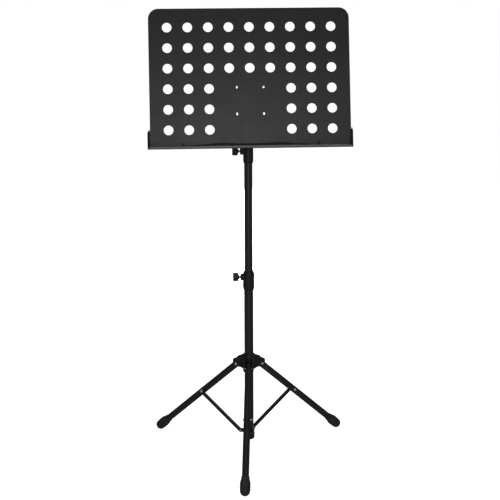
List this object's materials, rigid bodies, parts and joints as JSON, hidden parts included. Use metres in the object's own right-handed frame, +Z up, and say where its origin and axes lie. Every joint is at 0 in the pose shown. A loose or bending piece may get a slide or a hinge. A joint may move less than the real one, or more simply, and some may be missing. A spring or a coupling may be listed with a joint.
{
  "type": "music stand",
  "caption": "Folding orchestra music stand: a perforated sheet-steel desk with a shelf on a telescopic mast with clamp knobs and a folding tripod.",
  "frame": {"origin": "middle of the base of the bounding box, on the floor", "axes": "+Z up the mast, -Y towards the player in front of the desk, +X to the right as the player sees the desk"},
  "size_m": [0.5072, 0.4416, 1.1485],
  "materials": {
    "panel_paint": "satin black powder coat with a fine texture",
    "tube_paint": "semi-gloss black paint on steel tube",
    "plastic": "black moulded nylon, fine grain",
    "knob_plastic": "black moulded plastic",
    "rubber": "black rubber, matt",
    "zinc": "bright zinc plate"
  },
  "bodies": {
    "mast_base": {"lower_tube": "tube_paint", "mast_end_cap": "plastic", "lower_collar": "plastic", "lower_nut": "zinc", "spreader_hub": "plastic", "strut_pin_front": "zinc", "strut_pin_right": "zinc", "strut_pin_left": "zinc"},
    "hub": {"leg_hub": "plastic", "hub_nut": "zinc", "leg_pin_front": "zinc", "leg_pin_right": "zinc", "leg_pin_left": "zinc"},
    "hub_clamp": {"hub_screw": "zinc", "hub_knob": "knob_plastic"},
    "mid_slider": {"mid_guide": "plastic"},
    "mid_mast": {"mid_tube": "tube_paint", "upper_collar": "plastic", "upper_nut": "zinc"},
    "lower_clamp": {"lower_screw": "zinc", "lower_knob": "knob_plastic"},
    "upper_clamp": {"upper_screw": "zinc", "upper_knob": "knob_plastic"},
    "top_slider": {"top_guide": "plastic"},
    "top_mast": {"top_tube": "tube_paint", "tilt_head": "plastic"},
    "desk": {"desk_panel": "panel_paint", "shelf": "panel_paint", "desk_bracket": "tube_paint", "bracket_rivet_1": "zinc", "bracket_rivet_2": "zinc", "bracket_rivet_3": "zinc", "bracket_rivet_4": "zinc", "shelf_rivet_1": "panel_paint", "shelf_rivet_2": "panel_paint", "tilt_bolt": "zinc", "friction_washer_left": "plastic", "friction_washer_right": "plastic"},
    "tilt_clamp": {"tilt_knob": "knob_plastic"},
    "leg_front": {"leg_tube_front": "tube_paint", "leg_boot_front": "rubber", "leg_rivet_front": "zinc"},
    "strut_front": {"strut_front": "tube_paint", "strut_rivet_front": "zinc"},
    "leg_right": {"leg_tube_right": "tube_paint", "leg_boot_right": "rubber", "leg_rivet_right": "zinc"},
    "strut_right": {"strut_right": "tube_paint", "strut_rivet_right": "zinc"},
    "leg_left": {"leg_tube_left": "tube_paint", "leg_boot_left": "rubber", "leg_rivet_left": "zinc"},
    "strut_left": {"strut_left": "tube_paint", "strut_rivet_left": "zinc"}
  },
  "joints": [
    {"name": "hub_slide", "type": "slide", "parent": "mast_base", "child": "hub", "axis": [0, 0, 1], "range_m": [0, 0.106]},
    {"name": "leg_fold_front", "type": "hinge", "parent": "hub", "child": "leg_front", "pos_m": [-0.00211, 0.0364, 0.2363], "axis": [0.9986, -0.0523, 0], "range_deg": [-0.1, 47.58]},
    {"name": "strut_fold_front", "type": "hinge", "parent": "mast_base", "child": "strut_front", "pos_m": [-0.00138, 0.05018, 0.0523], "axis": [-0.9986, 0.0523, 0], "range_deg": [-0.1, 48.44]},
    {"name": "leg_fold_right", "type": "hinge", "parent": "hub", "child": "leg_right", "pos_m": [0.0282, 0.08585, 0.2363], "axis": [-0.5, 0.866, 0], "range_deg": [-0.1, 47.58]},
    {"name": "strut_fold_right", "type": "hinge", "parent": "mast_base", "child": "strut_right", "pos_m": [0.01625, 0.07895, 0.0523], "axis": [0.5, -0.866, 0], "range_deg": [-0.1, 48.44]},
    {"name": "leg_fold_left", "type": "hinge", "parent": "hub", "child": "leg_left", "pos_m": [-0.02896, 0.08585, 0.2363], "axis": [-0.5, -0.866, 0], "range_deg": [-0.1, 47.58]},
    {"name": "strut_fold_left", "type": "hinge", "parent": "mast_base", "child": "strut_left", "pos_m": [-0.01701, 0.07895, 0.0523], "axis": [0.5, 0.866, 0], "range_deg": [-0.1, 48.44]},
    {"name": "mid_slide", "type": "slide", "parent": "mast_base", "child": "mid_slider", "axis": [0, 0, 1], "range_m": [-0.275, 0.08]},
    {"name": "mid_swivel", "type": "hinge", "parent": "mid_slider", "child": "mid_mast", "pos_m": [-0.00038, 0.06935, 0.6], "axis": [0, 0, 1], "continuous": true},
    {"name": "top_slide", "type": "slide", "parent": "mid_mast", "child": "top_slider", "axis": [0, 0, 1], "range_m": [-0.06, 0.14]},
    {"name": "top_swivel", "type": "hinge", "parent": "top_slider", "child": "top_mast", "pos_m": [-0.00038, 0.06935, 0.75], "axis": [0, 0, 1], "continuous": true},
    {"name": "desk_tilt", "type": "hinge", "parent": "top_mast", "child": "desk", "pos_m": [-0.00038, 0.06935, 0.9217], "axis": [-0.999, -0.0436, 0], "range_deg": [-16.4, 73.6]},
    {"name": "lower_knob_turn", "type": "hinge", "parent": "mast_base", "child": "lower_clamp", "pos_m": [-0.03038, 0.06935, 0.4741], "axis": [-1, 0, 0], "range_deg": [0, 360]},
    {"name": "upper_knob_turn", "type": "hinge", "parent": "mid_mast", "child": "upper_clamp", "pos_m": [-0.03038, 0.06935, 0.8005], "axis": [-1, 0, 0], "range_deg": [0, 360]},
    {"name": "hub_knob_turn", "type": "hinge", "parent": "hub", "child": "hub_clamp", "pos_m": [-0.00038, 0.09935, 0.25], "axis": [0, 1, 0], "range_deg": [0, 360]},
    {"name": "tilt_knob_turn", "type": "hinge", "parent": "desk", "child": "tilt_clamp", "pos_m": [-0.02535, 0.06826, 0.9217], "axis": [-0.999, -0.0436, 0], "range_deg": [0, 360]}
  ],
  "couplings": [
    {"joint": "leg_fold_front", "follows": "hub_slide", "rad_per_m": 7.8165},
    {"joint": "strut_fold_front", "follows": "hub_slide", "rad_per_m": 7.9592},
    {"joint": "leg_fold_right", "follows": "hub_slide", "rad_per_m": 7.8165},
    {"joint": "strut_fold_right", "follows": "hub_slide", "rad_per_m": 7.9592},
    {"joint": "leg_fold_left", "follows": "hub_slide", "rad_per_m": 7.8165},
    {"joint": "strut_fold_left", "follows": "hub_slide", "rad_per_m": 7.9592}
  ]
}
